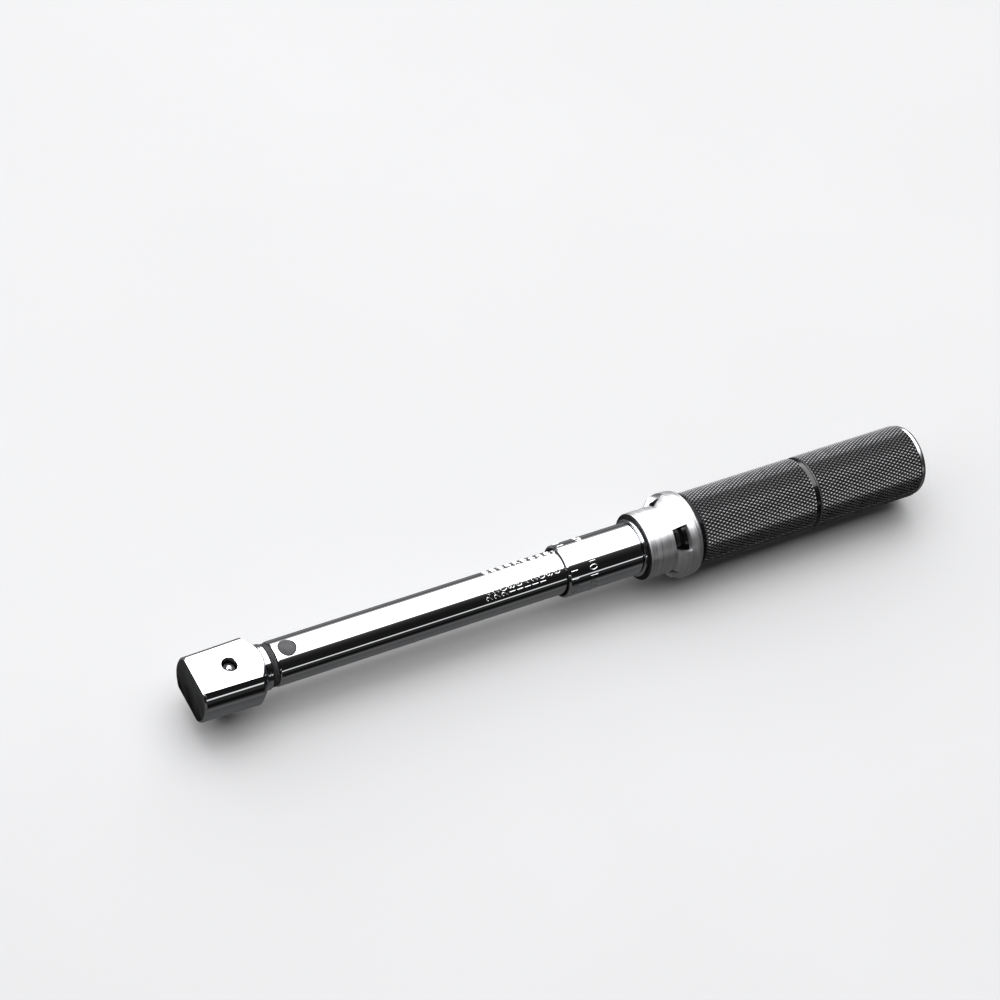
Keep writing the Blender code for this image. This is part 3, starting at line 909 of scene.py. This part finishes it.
class Etching:
    """Thin raised strokes wrapped round a cylinder of the wrench."""

    ROOT = 0.03  # how far a stroke's foot lies under the surface
    HEIGHT = 0.09

    def __init__(self, radius):
        self.radius = radius
        self.points = []
        self.faces = []

    def stroke(self, line, width):
        """Add one ridge of triangular section along a line of (x, angle in radians) points."""
        flat = np.array([(x, a * self.radius) for x, a in line])
        closed = np.allclose(flat[0], flat[-1])
        if closed:
            flat = flat[:-1]
        count = len(flat)
        left, right = [], []
        for k in range(count):
            before = flat[k] - flat[k - 1] if (closed or k > 0) else flat[1] - flat[0]
            after = flat[(k + 1) % count] - flat[k] if (closed or k < count - 1) else before
            before, after = before / np.linalg.norm(before), after / np.linalg.norm(after)
            mean = before + after
            mean /= max(np.linalg.norm(mean), 1e-6)
            across = np.array([-mean[1], mean[0]])
            reach = min(width / 2 / max(mean @ before, 0.45), width)
            left.append(flat[k] + across * reach)
            right.append(flat[k] - across * reach)
        start = len(self.points)
        for (xa, ya), (xm, ym), (xb, yb) in zip(left, flat, right):
            self.points.append((xa, self.radius - self.ROOT, ya / self.radius))
            self.points.append((xm, self.radius + self.HEIGHT, ym / self.radius))
            self.points.append((xb, self.radius - self.ROOT, yb / self.radius))
        spans = count if closed else count - 1
        for k in range(spans):
            p = start + 3 * k
            q = start + 3 * ((k + 1) % count)
            self.faces += [[p, p + 1, q + 1, q], [p + 1, p + 2, q + 2, q + 1], [p, q, q + 2, p + 2]]
        if not closed:
            for p in (start, start + 3 * (count - 1)):
                self.faces.append([p, p + 1, p + 2])

    def number(self, text, x, units, height, spacing):
        """Digits whose tops face the head, the last one at the angle `units` and the others beyond it."""
        for k, digit in enumerate(reversed(text)):
            centre = math.radians(units + k * spacing)
            for line in DIGITS[digit]:
                stations = [x - (v - 0.5) * height for _, v in line]
                angles = [centre - (u - 0.3) * height / self.radius for u, _ in line]
                self.stroke(list(zip(stations, angles)), DIGIT_STROKE)

    def mesh(self):
        return wrapped_mesh("etching", self.points, self.faces)


SCALE_STEP = 2.91
ROWS = 11
NEAR_ROW_X = 104.3
FAR_ROW_X = 107.8
tube_marks = Etching(TUBE_R)
for k in range(ROWS):
    tube_marks.number(str(24 - 2 * k), NEAR_ROW_X + SCALE_STEP * k, 119, 2.1, 13)
    text = str(200 - 20 * k)
    tube_marks.number(text, FAR_ROW_X + SCALE_STEP * k, 54 - 5.5 * (len(text) - 1), 1.9, 11)
link("tube_scale", tube_marks.mesh(), MARK, "frame", sharp=10)

DIVISIONS = 20
ZERO_ANGLE = 129.5
TICK_ENDS = (134.8, 137.2)
LABEL_X = 143.25
sleeve_marks = Etching(SLEEVE_R)
for k in range(DIVISIONS):
    angle = ZERO_ANGLE + 360 // DIVISIONS * k
    sleeve_marks.stroke([(x, math.radians(angle)) for x in TICK_ENDS], TICK_STROKE)
    text = str(k)
    sleeve_marks.number(text, LABEL_X, angle + 4 - 5 * (len(text) - 1), 2.7 if k < 10 else 2.1, 10)
link("sleeve_scale", sleeve_marks.mesh(), MARK, "handle", sharp=10)

# ---------------------------------------------------------------- solids that stay as they are
KEPT = {
    "release_spring": SPRING,
    "main_spring": SPRING,
    "lock_spring": SPRING,
    "fixed_nut": BRASS,
    "nut_pin_a": TOOL,
    "nut_pin_b": TOOL,
    "cam_block": TOOL,
    "plunger": TOOL,
    "spring_seat": TOOL,
    "adjusting_screw": TOOL,
    "thrust_ball": BEARING,
    "lock_ball_a": BEARING,
    "lock_ball_b": BEARING,
}
for node, material in KEPT.items():
    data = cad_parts[node].data
    data.materials.clear()
    data.materials.append(material)

# ---------------------------------------------------------------- floor, world, light and camera


def floor_piece():
    """A pale floor just under the wrench that catches its shadow and isn't mirrored in the metal."""
    gap = 0.0002
    g = Graph("pale_floor")
    g.set(
        Base_Color=g.blend(g.span(g.noise(6, 3), 0, 1), (0.325, 0.325, 0.327), (0.335, 0.335, 0.337)),
        Roughness=0.8,
        Specular_IOR_Level=0.1,
    )
    mesh = bpy.data.meshes.new("floor")
    size = 6.0
    corners = [(-size, -size, 0), (size, -size, 0), (size, size, 0), (-size, size, 0)]
    mesh.from_pydata(corners, [], [(0, 1, 2, 3)])
    mesh.materials.append(g.material)
    floor = bpy.data.objects.new("floor", mesh)
    floor.location.z = CAD_BOUNDS[0].z - gap
    floor.visible_glossy = False
    scene.collection.objects.link(floor)


# What the metal mirrors: the angle of a direction round the wrench, in degrees, and the brightness there
BANDS = [
    (-180, 0.009),
    (-174, 0.0045),
    (-170, 0.0015),
    (-162, 0.0015),
    (-158, 0.007),
    (-154, 0.019),
    (-150, 0.031),
    (-146, 0.031),
    (-140, 0.022),
    (-112, 0.027),
    (-54, 0.022),
    (-37, 0.038),
    (-23, 0.066),
    (-13, 0.042),
    (-7, 0.024),
    (-1.6, 0.034),
    (6.4, 0.13),
    (10.4, 0.18),
    (18, 1.0),
    (110.5, 1.0),
    (112.5, 0.15),
    (115, 0.02),
    (124, 0.008),
    (140, 0.003),
    (168.4, 0.003),
    (169.6, 0.32),
    (172.2, 0.32),
    (173.4, 0.01),
    (177, 0.006),
]
SOFTBOX_STRENGTH = 3.5
SOFTBOX_EDGE = (0.62, 0.80)  # towards the cap, the light falls off between these x parts of a direction
FALLOFF_STRENGTH = 0.35
# A small graded dark patch where the head's front face mirrors the room for the photograph's camera
PATCH_DIRECTION = (-0.334, 0.468, -0.818)
PATCH_EDGE = (0.9945, 0.9975)  # cosines of the angle from its middle, where it begins and where it is whole
PATCH_SLOPE = (-0.924, 0.0, 0.382)  # the way it gets lighter
PATCH_RANGE = (-0.0060, -0.0008)
PATCH_SHARE = (0.05, 0.62)


def studio_world():
    """A white overhead softbox in dark surroundings for the metal, and a pale backdrop elsewhere."""
    world = bpy.data.worlds.new("studio")
    world.use_nodes = True
    scene.world = world
    nodes, links = world.node_tree.nodes, world.node_tree.links

    def put(kind, inputs, operation=None):
        """Add a node and fill its inputs, each from a socket or a value."""
        node = nodes.new(kind)
        if operation:
            node.operation = operation
        for key, value in inputs.items():
            if isinstance(value, bpy.types.NodeSocket):
                links.new(value, node.inputs[key])
            else:
                node.inputs[key].default_value = value
        return node.outputs

    def graded(value, limits, levels):
        """Map a value between two limits to two levels."""
        inputs = {0: value, 1: limits[0], 2: limits[1], 3: levels[0], 4: levels[1]}
        return put("ShaderNodeMapRange", inputs)[0]

    direction = nodes.new("ShaderNodeTexCoord").outputs["Generated"]
    parts = put("ShaderNodeSeparateXYZ", {0: direction})
    turn = put("ShaderNodeMath", {0: parts[2], 1: parts[1]}, "ARCTAN2")[0]
    ramp = nodes.new("ShaderNodeValToRGB")
    ramp.color_ramp.interpolation = "LINEAR"
    links.new(graded(turn, (-math.pi, math.pi), (0.0, 1.0)), ramp.inputs[0])
    stops = ramp.color_ramp.elements
    while len(stops) > 1:
        stops.remove(stops[-1])
    for index, (angle, value) in enumerate(BANDS):
        place = (angle + 180) / 360
        stop = stops[0] if index == 0 else stops.new(place)
        stop.position = place
        stop.color = (value, value, value * 1.01, 1)

    strength = graded(parts[0], SOFTBOX_EDGE, (SOFTBOX_STRENGTH, FALLOFF_STRENGTH))
    closeness = put("ShaderNodeVectorMath", {0: direction, 1: PATCH_DIRECTION}, "DOT_PRODUCT")["Value"]
    slope = put("ShaderNodeVectorMath", {0: direction, 1: PATCH_SLOPE}, "DOT_PRODUCT")["Value"]
    within = graded(closeness, PATCH_EDGE, (0.0, 1.0))
    patch = put("ShaderNodeMix", {0: within, 2: 1.0, 3: graded(slope, PATCH_RANGE, PATCH_SHARE)})[0]
    level = put("ShaderNodeMath", {0: strength, 1: patch}, "MULTIPLY")[0]
    softbox = put("ShaderNodeBackground", {"Color": ramp.outputs[0], "Strength": level})[0]

    backdrop = nodes["Background"]
    backdrop.inputs["Color"].default_value = (0.86, 0.86, 0.865, 1)
    seen = nodes.new("ShaderNodeLightPath").outputs["Is Camera Ray"]
    mix = put("ShaderNodeMixShader", {0: seen, 1: softbox, 2: backdrop.outputs[0]})[0]
    links.new(mix, nodes["World Output"].inputs["Surface"])


def soft_light(name, place, size, energy):
    """An area light that faces the wrench and isn't mirrored in the metal."""
    lamp = bpy.data.lights.new(name, "AREA")
    lamp.shape = "RECTANGLE"
    lamp.size, lamp.size_y = size
    lamp.energy = energy
    thing = bpy.data.objects.new(name, lamp)
    thing.location = place
    thing.rotation_mode = "QUATERNION"
    thing.rotation_quaternion = Vector(place).to_track_quat("Z", "Y")
    thing.visible_glossy = False
    scene.collection.objects.link(thing)


def photo_camera():
    """The photograph's view, from a camera fitted to the ellipses of the wrench's turned edges."""
    lens = bpy.data.cameras.new("camera")
    lens.sensor_width = 36.0
    lens.lens = 115.4
    lens.clip_start = 0.01
    lens.clip_end = 50.0
    camera = bpy.data.objects.new("camera", lens)
    camera.location = (-0.475123, -0.470952, 0.838754)
    camera.rotation_mode = "QUATERNION"
    camera.rotation_quaternion = Quaternion((0.9186183, 0.2935371, -0.1729293, -0.2001797))
    scene.collection.objects.link(camera)
    scene.camera = camera


floor_piece()
studio_world()
soft_light("overhead_softbox", (0.05, 0.35, 0.9), (0.9, 0.6), 6.0)
photo_camera()
scene.view_settings.view_transform = "Standard"
